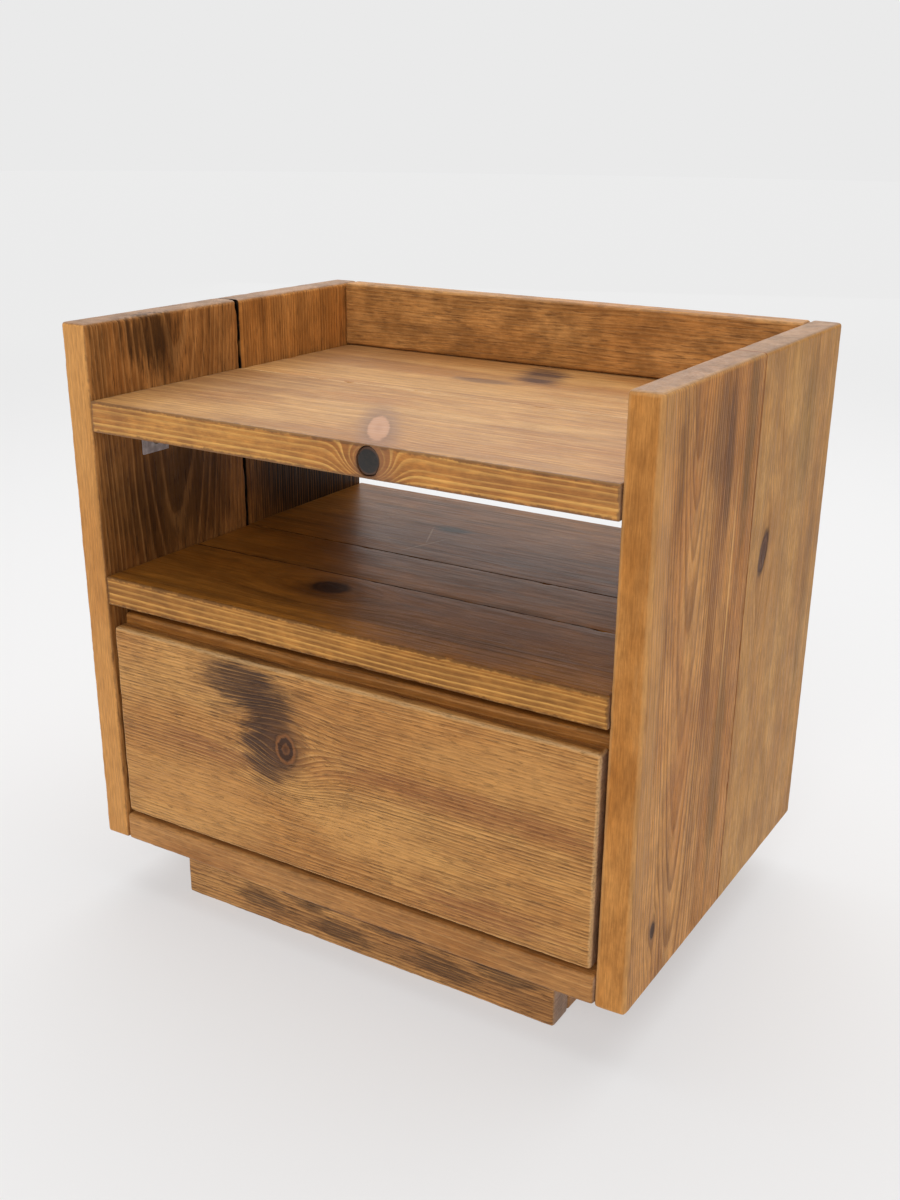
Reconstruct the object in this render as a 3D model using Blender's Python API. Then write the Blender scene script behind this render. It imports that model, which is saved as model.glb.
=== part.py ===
"""A low pine nightstand: a tray top between two tall sides, an open cubby and one inset drawer on a plinth.

Frame: X to the right, Y to the back (the front faces -Y), Z up, origin on the floor under the middle.
"""

import math

import bmesh
import bpy
from mathutils import Matrix, Vector

# Overall size, in metres.
WIDTH = 0.450
DEPTH = 0.322
HEIGHT = 0.446
BOARD = 0.022  # planed thickness of the cabinet boards
GAP = 0.0003  # left between pieces that touch
ARRIS = 0.003  # the worn rounding along every board
GLUED_SHARE = 0.15  # of that rounding, where two boards are glued edge to edge

# Levels of the cabinet, all measured from the floor.
PLINTH_HEIGHT = 0.0475
BOTTOM_TOP = PLINTH_HEIGHT + BOARD
SHELF_TOP = 0.265
TOP_TOP = 0.3935
SHELF_UNDERSIDE = SHELF_TOP - BOARD
TOP_UNDERSIDE = TOP_TOP - BOARD

# Outline of the cabinet in plan.
LEFT = -WIDTH / 2
RIGHT = WIDTH / 2
FRONT = -DEPTH / 2
BACK = DEPTH / 2
INNER_LEFT = LEFT + BOARD
INNER_RIGHT = RIGHT - BOARD
SEAM = 0.0  # the edge joint half way back, in the sides, the top and the bottom
SHELF_SEAMS = (FRONT + 0.097, FRONT + 0.162)
RAIL = 0.020  # thickness of the back rail and of the board behind the drawer

# Plinth frame.
PLINTH_FRONT = FRONT + 0.0232
PLINTH_BACK = BACK - 0.0232
PLINTH_SIDE = WIDTH / 2 - 0.0613
BLOCK = 0.024  # glue blocks in the plinth's corners
BLOCK_HEIGHT = 0.040

# Drawer.
FRONT_THICK = 0.013
FRONT_SIDE_GAP = 0.0035
FRONT_LOW = BOTTOM_TOP + 0.0035
FRONT_HIGH = 0.2265
BOX_SIDE_GAP = 0.0020
BOX_LOW = BOTTOM_TOP + GAP
BOX_HIGH = 0.2333
BOX_WALL = 0.015
BOX_FRONT_WALL = 0.018
BOX_FACE = FRONT + FRONT_THICK + GAP
BOX_BACK = BACK - RAIL - 0.0015
PANEL = 0.005  # the drawer's bottom panel
PANEL_LIFT = 0.009  # from the box's lower edge to the panel's underside
GROOVE = 0.006

# Kickers: strips under the shelf that keep the open drawer from tipping.
KICKER_WIDE = 0.014
KICKER_HIGH = 0.008
KICKER_FRONT = FRONT + 0.045

# Fixings.
DOWEL_RADIUS = 0.004
DOWEL_LENGTH = 0.038
DOWEL_IN_SIDE = 0.012
DOWEL_SIDES = 12
SCREW_SIDES = 10
SCREW_RADIUS = 0.00175
SCREW_LENGTH = 0.014
HEAD_RADIUS = 0.0036
HEAD_HIGH = 0.0020
LONG_SCREW_LENGTH = 0.0255
BRACKET_LEG = 0.025
BRACKET_WIDE = 0.026
BRACKET_THICK = 0.0016
BRACKET_SCREW = 0.016  # from the bracket's corner to each screw
BRACKET_PLACES = {"front": FRONT + 0.0598, "rear": BACK - 0.0598}

# Finishes: base colour, roughness and metallic.
FINISHES = {
    "waxed_pine": ((0.46, 0.24, 0.095), 0.45, 0.0),
    "drawer_pine": ((0.43, 0.21, 0.075), 0.40, 0.0),
    "raw_pine": ((0.62, 0.42, 0.22), 0.75, 0.0),
    "birch_ply": ((0.66, 0.50, 0.32), 0.70, 0.0),
    "beech": ((0.60, 0.42, 0.26), 0.60, 0.0),
    "zinc": ((0.52, 0.52, 0.50), 0.38, 0.9),
    "screw_steel": ((0.60, 0.58, 0.52), 0.32, 0.95),
}


def clear_scene():
    for thing in list(bpy.data.objects):
        bpy.data.objects.remove(thing, do_unlink=True)


def finish(name):
    """The material of this name, made the first time it is asked for."""
    made = bpy.data.materials.get(name)
    if made:
        return made
    colour, roughness, metallic = FINISHES[name]
    made = bpy.data.materials.new(name)
    made.use_nodes = True
    shader = made.node_tree.nodes["Principled BSDF"]
    shader.inputs["Base Color"].default_value = (*colour, 1.0)
    shader.inputs["Roughness"].default_value = roughness
    shader.inputs["Metallic"].default_value = metallic
    return made


def place(name, mesh, finish_name=None, parent=None):
    """Links a mesh as an object; with no finish it becomes a hidden cutter."""
    thing = bpy.data.objects.new(name, mesh)
    bpy.context.scene.collection.objects.link(thing)
    if finish_name:
        mesh.materials.append(finish(finish_name))
    else:
        thing.hide_render = True
        thing.display_type = "WIRE"
    if parent:
        thing.parent = parent
        thing.matrix_parent_inverse = Matrix.Translation(-parent.location)
    return thing


def as_mesh(name, shape):
    bmesh.ops.recalc_face_normals(shape, faces=shape.faces)
    mesh = bpy.data.meshes.new(name)
    shape.to_mesh(mesh)
    shape.free()
    return mesh


def add_box(shape, low, high):
    low, high = Vector(low), Vector(high)
    corners = bmesh.ops.create_cube(shape, size=1.0)["verts"]
    bmesh.ops.scale(shape, vec=high - low, verts=corners)
    bmesh.ops.translate(shape, vec=(low + high) / 2, verts=corners)


def board(name, low, high, finish_name="waxed_pine", arris=ARRIS, cutters=(), parent=None, glued=()):
    """A rectangular board between two corners, with rounded arrises and any holes or grooves cut.

    glued lists the faces, "front" or "rear", that are glued to the next board and so stay nearly sharp.
    """
    shape = bmesh.new()
    add_box(shape, low, high)
    joints = {"front": low[1], "rear": high[1]}
    weights = shape.edges.layers.float.new("bevel_weight_edge")
    for edge in shape.edges:
        at_joint = any(all(abs(v.co.y - joints[face]) < 1e-6 for v in edge.verts) for face in glued)
        edge[weights] = GLUED_SHARE if at_joint else 1.0
    made = place(name, as_mesh(name, shape), finish_name, parent)
    rounding = made.modifiers.new("arris", "BEVEL")
    rounding.limit_method = "WEIGHT"
    rounding.width = arris
    rounding.segments = 2
    for cutter in cutters:
        cut = made.modifiers.new(cutter.name, "BOOLEAN")
        cut.operation = "DIFFERENCE"
        cut.object = cutter
    return made


def turning(direction):
    """The rotation that carries +Z onto a direction."""
    return Vector((0, 0, 1)).rotation_difference(Vector(direction)).to_matrix().to_4x4()


def add_rod(shape, start, direction, length, radius, sides):
    """A plain round rod from a start point along a direction."""
    middle = Vector(start) + Vector(direction) * length / 2
    bmesh.ops.create_cone(
        shape,
        cap_ends=True,
        segments=sides,
        radius1=radius,
        radius2=radius,
        depth=length,
        matrix=Matrix.Translation(middle) @ turning(direction),
    )


def rod(name, start, direction, length, radius, sides, finish_name):
    shape = bmesh.new()
    add_rod(shape, start, direction, length, radius, sides)
    return place(name, as_mesh(name, shape), finish_name)


def screw(name, seat, direction, length, parent=None):
    """A round-headed screw: its head sits on the seat point and its shank runs along the direction."""
    outline = [
        (0.0, -HEAD_HIGH),
        (HEAD_RADIUS * 0.62, -HEAD_HIGH * 0.86),
        (HEAD_RADIUS, -HEAD_HIGH * 0.30),
        (HEAD_RADIUS, 0.0),
        (SCREW_RADIUS, 0.0),
        (SCREW_RADIUS, length - SCREW_RADIUS * 2.2),
        (0.0, length),
    ]
    shape = bmesh.new()
    points = [shape.verts.new((radius, 0.0, along)) for radius, along in outline]
    edges = [shape.edges.new(pair) for pair in zip(points, points[1:])]
    bmesh.ops.spin(
        shape,
        geom=points + edges,
        axis=(0, 0, 1),
        cent=(0, 0, 0),
        steps=SCREW_SIDES,
        angle=math.tau,
        use_merge=True,
    )
    bmesh.ops.remove_doubles(shape, verts=shape.verts, dist=1e-6)
    matrix = Matrix.Translation(Vector(seat)) @ turning(direction)
    bmesh.ops.transform(shape, matrix=matrix, verts=shape.verts)
    return place(name, as_mesh(name, shape), "screw_steel", parent)


def bracket(name, corner, side, cutter):
    """A bent corner plate under the top: one leg down the side panel, one leg along the top's underside.

    corner is the inner corner of the joint, side is -1 at the left panel and +1 at the right one.
    """
    leg, thick = BRACKET_LEG, BRACKET_THICK
    outline = [(0, 0), (leg, 0), (leg, thick), (thick, thick), (thick, leg), (0, leg)]
    shape = bmesh.new()
    points = [shape.verts.new((-side * across, 0.0, -down)) for across, down in outline]
    face = shape.faces.new(points)
    grown = bmesh.ops.extrude_face_region(shape, geom=[face])["geom"]
    moved = [part for part in grown if isinstance(part, bmesh.types.BMVert)]
    bmesh.ops.translate(shape, vec=(0.0, BRACKET_WIDE, 0.0), verts=moved)
    shift = Vector(corner) + Vector((-side * GAP, -BRACKET_WIDE / 2, -GAP))
    bmesh.ops.translate(shape, vec=shift, verts=shape.verts)
    made = place(name, as_mesh(name, shape), "zinc")
    cut = made.modifiers.new(cutter.name, "BOOLEAN")
    cut.operation = "DIFFERENCE"
    cut.object = cutter
    return made


# ---- fixings: where each one goes ----


def dowel_places():
    """Each dowel's name, the joint face it crosses, and the way it runs into the board."""
    levels = {
        "top": (TOP_TOP - BOARD / 2, (FRONT + 0.080, BACK - 0.080)),
        "shelf": (SHELF_TOP - BOARD / 2, (FRONT + 0.048, BACK - 0.080)),
        "bottom": (BOTTOM_TOP - BOARD / 2, (FRONT + 0.080, BACK - 0.080)),
    }
    places = []
    for hand, face, inward in (("left", INNER_LEFT, 1), ("right", INNER_RIGHT, -1)):
        for level, (height, depths) in levels.items():
            for end, depth in zip(("front", "rear"), depths):
                places.append((f"dowel_{level}_{hand}_{end}", (face, depth, height), inward))
        rail_height = (TOP_TOP + HEIGHT) / 2
        places.append((f"dowel_rail_{hand}", (face, BACK - RAIL / 2, rail_height), inward))
    return places


def bracket_places():
    places = []
    for hand, face, side in (("left", INNER_LEFT, -1), ("right", INNER_RIGHT, 1)):
        for end, depth in BRACKET_PLACES.items():
            places.append((f"{hand}_{end}", Vector((face, depth, TOP_UNDERSIDE)), side))
    return places


def bracket_screws():
    """Each bracket screw's name, seat and direction: one into the side panel, one up into the top."""
    lift = GAP * 2 + BRACKET_THICK
    found = []
    for place_name, corner, side in bracket_places():
        into_side = corner + Vector((-side * lift, 0, -BRACKET_SCREW))
        into_top = corner + Vector((-side * BRACKET_SCREW, 0, -lift))
        found.append((f"screw_{place_name}_side", into_side, Vector((side, 0, 0))))
        found.append((f"screw_{place_name}_top", into_top, Vector((0, 0, 1))))
    return found


def front_screws():
    """The four screws that hold the drawer front, driven from inside the box."""
    seat = BOX_FACE + BOX_FRONT_WALL + GAP
    found = []
    for hand, across in (("left", -0.125), ("right", 0.125)):
        for level, height in (("low", 0.112), ("high", 0.190)):
            found.append((f"screw_front_{hand}_{level}", Vector((across, seat, height)), Vector((0, -1, 0))))
    return found


def hole_cutter(name, rods, sides):
    """One hidden cutter that holds a round rod for each hole."""
    shape = bmesh.new()
    for start, direction, length, radius in rods:
        add_rod(shape, start, direction, length, radius, sides)
    return place(name, as_mesh(name, shape))


def make_cutters():
    dowels = []
    for _, (face, depth, height), inward in dowel_places():
        start = Vector((face - inward * (DOWEL_IN_SIDE + GAP), depth, height))
        dowels.append((start, Vector((inward, 0, 0)), DOWEL_LENGTH + 2 * GAP, DOWEL_RADIUS + GAP))
    short = [
        (seat, direction, SCREW_LENGTH + GAP, SCREW_RADIUS + GAP)
        for _, seat, direction in bracket_screws()
    ]
    long = [
        (seat, direction, LONG_SCREW_LENGTH + GAP, SCREW_RADIUS + GAP)
        for _, seat, direction in front_screws()
    ]
    panel_low, panel_high = drawer_panel_corners()
    groove = bmesh.new()
    slack = Vector((GAP, GAP, GAP))
    add_box(groove, panel_low - slack, panel_high + slack)
    return {
        "dowels": hole_cutter("cut_dowels", dowels, DOWEL_SIDES),
        "short": hole_cutter("cut_short_screws", short, SCREW_SIDES),
        "long": hole_cutter("cut_long_screws", long, SCREW_SIDES),
        "groove": place("cut_groove", as_mesh("cut_groove", groove)),
    }


# ---- the cabinet ----

GLUED_FACES = {"front": ("rear",), "middle": ("front", "rear"), "rear": ("front",)}


def make_sides(cutters):
    cuts = [cutters["dowels"], cutters["short"]]
    for hand, low_x, high_x in (("left", LEFT, INNER_LEFT), ("right", INNER_RIGHT, RIGHT)):
        spans = {"front": (FRONT, SEAM - GAP / 2), "rear": (SEAM + GAP / 2, BACK)}
        for end, (low_y, high_y) in spans.items():
            low = (low_x, low_y, PLINTH_HEIGHT)
            high = (high_x, high_y, HEIGHT)
            board(f"{hand}_side_{end}_board", low, high, cutters=cuts, glued=GLUED_FACES[end])


def make_layer(name, spans, top, cuts):
    """A horizontal layer of edge-joined boards between the sides."""
    for end, (low_y, high_y) in spans.items():
        low = (INNER_LEFT + GAP, low_y, top - BOARD)
        high = (INNER_RIGHT - GAP, high_y, top)
        board(f"{name}_{end}_board", low, high, cutters=cuts, glued=GLUED_FACES[end])


def make_layers(cutters):
    cuts = [cutters["dowels"]]
    halves = {"front": (FRONT, SEAM - GAP / 2), "rear": (SEAM + GAP / 2, BACK)}
    first, second = SHELF_SEAMS
    thirds = {
        "front": (FRONT, first - GAP / 2),
        "middle": (first + GAP / 2, second - GAP / 2),
        "rear": (second + GAP / 2, BACK),
    }
    make_layer("top", halves, TOP_TOP, [*cuts, cutters["short"]])
    make_layer("shelf", thirds, SHELF_TOP, cuts)
    make_layer("bottom", halves, BOTTOM_TOP, cuts)


def make_back(cutters):
    low_x, high_x = INNER_LEFT + GAP, INNER_RIGHT - GAP
    board("back_rail", (low_x, BACK - RAIL, TOP_TOP + GAP), (high_x, BACK, HEIGHT), cutters=[cutters["dowels"]])
    low = (low_x, BACK - RAIL, BOTTOM_TOP + GAP)
    high = (high_x, BACK, SHELF_UNDERSIDE - GAP)
    board("lower_back_board", low, high)


def make_plinth():
    roof = PLINTH_HEIGHT - GAP
    inner_front = PLINTH_FRONT + BOARD
    inner_back = PLINTH_BACK - BOARD
    inner_side = PLINTH_SIDE - BOARD
    board("plinth_front", (-PLINTH_SIDE, PLINTH_FRONT, 0), (PLINTH_SIDE, inner_front, roof), arris=0.002)
    board("plinth_back", (-PLINTH_SIDE, inner_back, 0), (PLINTH_SIDE, PLINTH_BACK, roof), arris=0.002)
    for hand, side in (("left", -1), ("right", 1)):
        across = sorted((side * inner_side, side * PLINTH_SIDE))
        low = (across[0], inner_front + GAP, 0)
        high = (across[1], inner_back - GAP, roof)
        board(f"plinth_{hand}", low, high, arris=0.002)
        inner = side * (inner_side - GAP)
        across = sorted((inner, inner - side * BLOCK))
        ends = {
            "front": (inner_front + GAP, inner_front + GAP + BLOCK),
            "rear": (inner_back - GAP - BLOCK, inner_back - GAP),
        }
        for end, (low_y, high_y) in ends.items():
            low = (across[0], low_y, roof - BLOCK_HEIGHT)
            high = (across[1], high_y, roof)
            board(f"plinth_block_{hand}_{end}", low, high, "raw_pine", arris=0.001)


def make_kickers():
    for hand, wall, inward in (("left", INNER_LEFT, 1), ("right", INNER_RIGHT, -1)):
        across = sorted((wall + inward * GAP, wall + inward * (GAP + KICKER_WIDE)))
        low = (across[0], KICKER_FRONT, SHELF_UNDERSIDE - GAP - KICKER_HIGH)
        high = (across[1], BACK - RAIL - GAP, SHELF_UNDERSIDE - GAP)
        board(f"kicker_{hand}", low, high, "raw_pine", arris=0.001)


def make_fixings(cutters):
    for name, (face, depth, height), inward in dowel_places():
        start = (face - inward * DOWEL_IN_SIDE, depth, height)
        rod(name, start, (inward, 0, 0), DOWEL_LENGTH, DOWEL_RADIUS, DOWEL_SIDES, "beech")
    for name, corner, side in bracket_places():
        bracket(f"bracket_{name}", corner, side, cutters["short"])
    for name, seat, direction in bracket_screws():
        screw(name, seat, direction, SCREW_LENGTH)


# ---- the drawer, which slides forward along -Y ----


def box_sides():
    """The outer faces of the drawer box."""
    return INNER_LEFT + BOX_SIDE_GAP, INNER_RIGHT - BOX_SIDE_GAP


def drawer_panel_corners():
    outer_left, outer_right = box_sides()
    low_z = BOX_LOW + PANEL_LIFT
    low_x = outer_left + BOX_WALL - GROOVE
    high_x = outer_right - BOX_WALL + GROOVE
    low_y = BOX_FACE + BOX_FRONT_WALL - GROOVE
    return Vector((low_x, low_y, low_z)), Vector((high_x, BOX_BACK - 0.001, low_z + PANEL))


def make_drawer(cutters):
    slide = bpy.data.objects.new("drawer_slide", None)
    slide.location = (0.0, FRONT, BOTTOM_TOP)
    bpy.context.scene.collection.objects.link(slide)
    outer_left, outer_right = box_sides()
    box_inner = BOX_FACE + BOX_FRONT_WALL
    low = (INNER_LEFT + FRONT_SIDE_GAP, FRONT, FRONT_LOW)
    high = (INNER_RIGHT - FRONT_SIDE_GAP, FRONT + FRONT_THICK, FRONT_HIGH)
    board("drawer_front", low, high, "drawer_pine", cutters=[cutters["long"]], parent=slide)
    low = (outer_left, BOX_FACE, BOX_LOW)
    high = (outer_right, box_inner, BOX_HIGH)
    cuts = [cutters["long"], cutters["groove"]]
    board("drawer_box_front", low, high, "waxed_pine", 0.002, cuts, slide)
    walls = {"left": (outer_left, outer_left + BOX_WALL), "right": (outer_right - BOX_WALL, outer_right)}
    for hand, (low_x, high_x) in walls.items():
        low = (low_x, box_inner + GAP, BOX_LOW)
        high = (high_x, BOX_BACK, BOX_HIGH)
        board(f"drawer_box_{hand}", low, high, "raw_pine", 0.0015, [cutters["groove"]], slide)
    panel_low, panel_high = drawer_panel_corners()
    low = (outer_left + BOX_WALL + GAP, BOX_BACK - BOX_WALL, panel_high.z + GAP)
    high = (outer_right - BOX_WALL - GAP, BOX_BACK, BOX_HIGH)
    board("drawer_box_back", low, high, "raw_pine", 0.0015, (), slide)
    board("drawer_bottom_panel", panel_low, panel_high, "birch_ply", 0.0004, (), slide)
    for name, seat, direction in front_screws():
        screw(name, seat, direction, LONG_SCREW_LENGTH, slide)


def smooth_round_pieces():
    for thing in bpy.data.objects:
        if thing.type == "MESH":
            thing.data.shade_smooth()
            thing.data.set_sharp_from_angle(angle=math.radians(35))


def main():
    clear_scene()
    cutters = make_cutters()
    make_sides(cutters)
    make_layers(cutters)
    make_back(cutters)
    make_plinth()
    make_kickers()
    make_fixings(cutters)
    make_drawer(cutters)
    smooth_round_pieces()


main()
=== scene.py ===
import math

import bmesh
import bpy
from mathutils import Matrix, Vector, noise


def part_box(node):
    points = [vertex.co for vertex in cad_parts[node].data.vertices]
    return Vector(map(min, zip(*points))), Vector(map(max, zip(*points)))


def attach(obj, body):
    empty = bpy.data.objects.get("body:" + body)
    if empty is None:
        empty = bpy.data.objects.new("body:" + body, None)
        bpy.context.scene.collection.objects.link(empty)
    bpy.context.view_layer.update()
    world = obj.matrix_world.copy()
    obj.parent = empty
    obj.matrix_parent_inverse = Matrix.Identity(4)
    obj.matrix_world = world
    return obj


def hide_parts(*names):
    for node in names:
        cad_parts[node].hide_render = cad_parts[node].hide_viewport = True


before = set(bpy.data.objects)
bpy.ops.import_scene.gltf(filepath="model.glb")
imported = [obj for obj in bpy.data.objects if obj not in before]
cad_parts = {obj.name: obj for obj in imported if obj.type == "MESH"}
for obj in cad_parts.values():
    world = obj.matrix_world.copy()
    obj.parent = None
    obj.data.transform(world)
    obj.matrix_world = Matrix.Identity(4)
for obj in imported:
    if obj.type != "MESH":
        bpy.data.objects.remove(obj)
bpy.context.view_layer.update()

INNER_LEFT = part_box("left_side_front_board")[1].x
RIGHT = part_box("right_side_front_board")[1].x
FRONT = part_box("top_front_board")[0].y
PLINTH_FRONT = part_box("plinth_front")[0].y
DRAWER_FACE = -0.155  # the y at which the marks of the drawer front are centred
TRAY_FACE = 0.39  # the z at which those of the tray top are centred
SHELF_FACE = 0.26  # and those of the shelf
THROUGH = 1.0  # half-length of a mark that runs right through its board
SKIN = 0.013  # half-length of a mark that shows on one face only
NO_EDGE = 0.1  # how far off an edge is put so that no wear shows on it


def colour(red, green, blue):
    """A paint-chart colour, 0 to 255 each, as the linear colour that a shader takes."""
    chart = [part / 255 for part in (red, green, blue)]
    return tuple(c / 12.92 if c <= 0.04045 else ((c + 0.055) / 1.055) ** 2.4 for c in chart) + (1.0,)


def patch(place, size, tint, amount, **more):
    """A stain, a scuff or a patch of painted shade; more holds how ragged it is, and how its slant leans it
    over along the grain.
    """
    return {"place": place, "size": size, "colour": tint, "amount": amount, **more}


# ---- a few words for building node trees ----


def new_material(name):
    """A material with its node tree, its shader, and each point's place in the object."""
    material = bpy.data.materials.new(name)
    material.use_nodes = True
    tree = material.node_tree
    return material, tree, tree.nodes["Principled BSDF"], add(tree, "ShaderNodeTexCoord").outputs["Object"]


def feed(tree, socket, value):
    """Links another node's output to a socket, or sets the socket to a plain value."""
    if isinstance(value, bpy.types.NodeSocket):
        tree.links.new(value, socket)
    else:
        socket.default_value = value


def add(tree, kind, inputs=(), **settings):
    made = tree.nodes.new(kind)
    for name, value in settings.items():
        setattr(made, name, value)
    for name, value in dict(inputs).items():
        feed(tree, made.inputs[name], value)
    return made


def calc(tree, operation, *values, clamp=False):
    made = add(tree, "ShaderNodeMath", operation=operation, use_clamp=clamp)
    for socket, value in zip(made.inputs, values):
        feed(tree, socket, value)
    return made.outputs[0]


def vector_calc(tree, operation, *values):
    made = add(tree, "ShaderNodeVectorMath", operation=operation)
    for socket, value in zip(made.inputs, values):
        feed(tree, socket, value)
    return made.outputs["Value" if operation == "LENGTH" else "Vector"]


def split(tree, vector):
    return add(tree, "ShaderNodeSeparateXYZ", {"Vector": vector}).outputs


def join(tree, x, y, z):
    return add(tree, "ShaderNodeCombineXYZ", {"X": x, "Y": y, "Z": z}).outputs[0]


def ease(tree, value, start, end, low=0.0, high=1.0):
    """Runs smoothly from low to high as the value goes from start to end."""
    limits = {"Value": value, "From Min": start, "From Max": end, "To Min": low, "To Max": high}
    return add(tree, "ShaderNodeMapRange", limits, interpolation_type="SMOOTHSTEP").outputs["Result"]


def nudge(tree, value, part, amount):
    """The value, plus the given amount of a part."""
    return calc(tree, "ADD", value, calc(tree, "MULTIPLY", part, amount))


def bell(tree, value):
    """1 where the value is 0, and falling softly to 0 on both sides."""
    return calc(tree, "EXPONENT", calc(tree, "MULTIPLY", calc(tree, "POWER", value, 2.0), -1.0))


def cloud(tree, vector, scales, detail=2.0, roughness=0.5, distortion=0.0):
    """Noise stretched by a scale along each axis, from about 0 to 1."""
    inputs = {
        "Vector": vector_calc(tree, "MULTIPLY", vector, scales),
        "Scale": 1.0,
        "Detail": detail,
        "Roughness": roughness,
        "Distortion": distortion,
    }
    return add(tree, "ShaderNodeTexNoise", inputs).outputs["Fac"]


def swing(tree, vector, scales, **settings):
    """The same noise, from about -0.5 to 0.5."""
    return calc(tree, "SUBTRACT", cloud(tree, vector, scales, **settings), 0.5)


def blend(tree, factor, first, second, way="MIX"):
    made = add(tree, "ShaderNodeMix", data_type="RGBA", blend_type=way)
    for socket, value in zip((made.inputs[0], made.inputs[6], made.inputs[7]), (factor, first, second)):
        feed(tree, socket, value)
    return made.outputs[2]


def lay(tree, wood, tint, mask, amount):
    """The wood with a tint laid over it, by the given amount where the mask is 1."""
    return blend(tree, calc(tree, "MULTIPLY", mask, amount), wood, tint)


def with_bump(tree, shader, strength, distance, height):
    bump = add(tree, "ShaderNodeBump", {"Strength": strength, "Distance": distance, "Height": height})
    feed(tree, shader.inputs["Normal"], bump.outputs[0])


KINDS = {"F": "NodeSocketFloat", "V": "NodeSocketVector"}
GROUPS = {}


def start_group(name, inputs, outputs):
    """A new node group; each input is (name, kind, value) and each output (name, kind)."""
    tree = bpy.data.node_groups.new(name, "ShaderNodeTree")
    for label, kind, value in inputs:
        socket = tree.interface.new_socket(label, in_out="INPUT", socket_type=KINDS[kind])
        socket.default_value = value
    for label, kind in outputs:
        tree.interface.new_socket(label, in_out="OUTPUT", socket_type=KINDS[kind])
    GROUPS[name] = tree
    return tree, add(tree, "NodeGroupInput").outputs, add(tree, "NodeGroupOutput").inputs


def use(tree, name, **inputs):
    """Places a node group, with its inputs named in lower case and underscores."""
    made = add(tree, "ShaderNodeGroup", node_tree=GROUPS[name])
    for label, value in inputs.items():
        feed(tree, made.inputs[label.replace("_", " ").title()], value)
    return made.outputs


# ---- effects shared by the wooden materials ----


def lean_over(tree, away, slant):
    """Leans a mark over. Slant is its step along the board for each step across, then the reverse."""
    along, across, _ = split(tree, away)
    sideways, upright, _ = split(tree, slant)
    shift = join(tree, calc(tree, "MULTIPLY", across, sideways), calc(tree, "MULTIPLY", along, upright), 0.0)
    return vector_calc(tree, "ADD", away, shift)


def make_knot_group():
    """A branch in the board, which parts the grain. Sizes are half-lengths along, across and through."""
    inputs = [
        ("Vector", "V", (0, 0, 0)),
        ("Place", "V", (0, 0, 0)),
        ("Size", "V", (0.01, 0.01, 1.0)),
        ("Flow", "V", (0.05, 0.02, 1.0)),
        ("Push", "F", 0.8),
        ("Lift", "F", 0.0),
        ("Slant", "V", (0, 0, 0)),
    ]
    outputs = [("Vector", "V"), ("Core", "F"), ("Rim", "F"), ("Halo", "F"), ("Reach", "F"), ("Lift", "F")]
    tree, take, give = start_group("knot", inputs, outputs)
    straight = vector_calc(tree, "SUBTRACT", take["Vector"], take["Place"])
    away = lean_over(tree, straight, take["Slant"])
    near = bell(tree, vector_calc(tree, "LENGTH", vector_calc(tree, "DIVIDE", away, take["Flow"])))
    pinch = calc(tree, "SUBTRACT", 1.0, calc(tree, "MULTIPLY", near, take["Push"]))
    parted = vector_calc(tree, "MULTIPLY", straight, join(tree, 1.0, pinch, pinch))
    feed(tree, give["Vector"], vector_calc(tree, "ADD", take["Place"], parted))
    feed(tree, give["Lift"], calc(tree, "MULTIPLY", near, take["Lift"]))
    reach = vector_calc(tree, "LENGTH", vector_calc(tree, "DIVIDE", away, take["Size"]))
    reach = nudge(tree, reach, swing(tree, take["Vector"], (260, 260, 260), detail=3.0), 0.35)
    feed(tree, give["Reach"], reach)
    feed(tree, give["Core"], ease(tree, reach, 0.86, 1.04, 1.0, 0.0))
    feed(tree, give["Rim"], bell(tree, calc(tree, "DIVIDE", calc(tree, "SUBTRACT", reach, 1.0), 0.16)))
    feed(tree, give["Halo"], ease(tree, reach, 0.9, 2.6, 1.0, 0.0))


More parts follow.
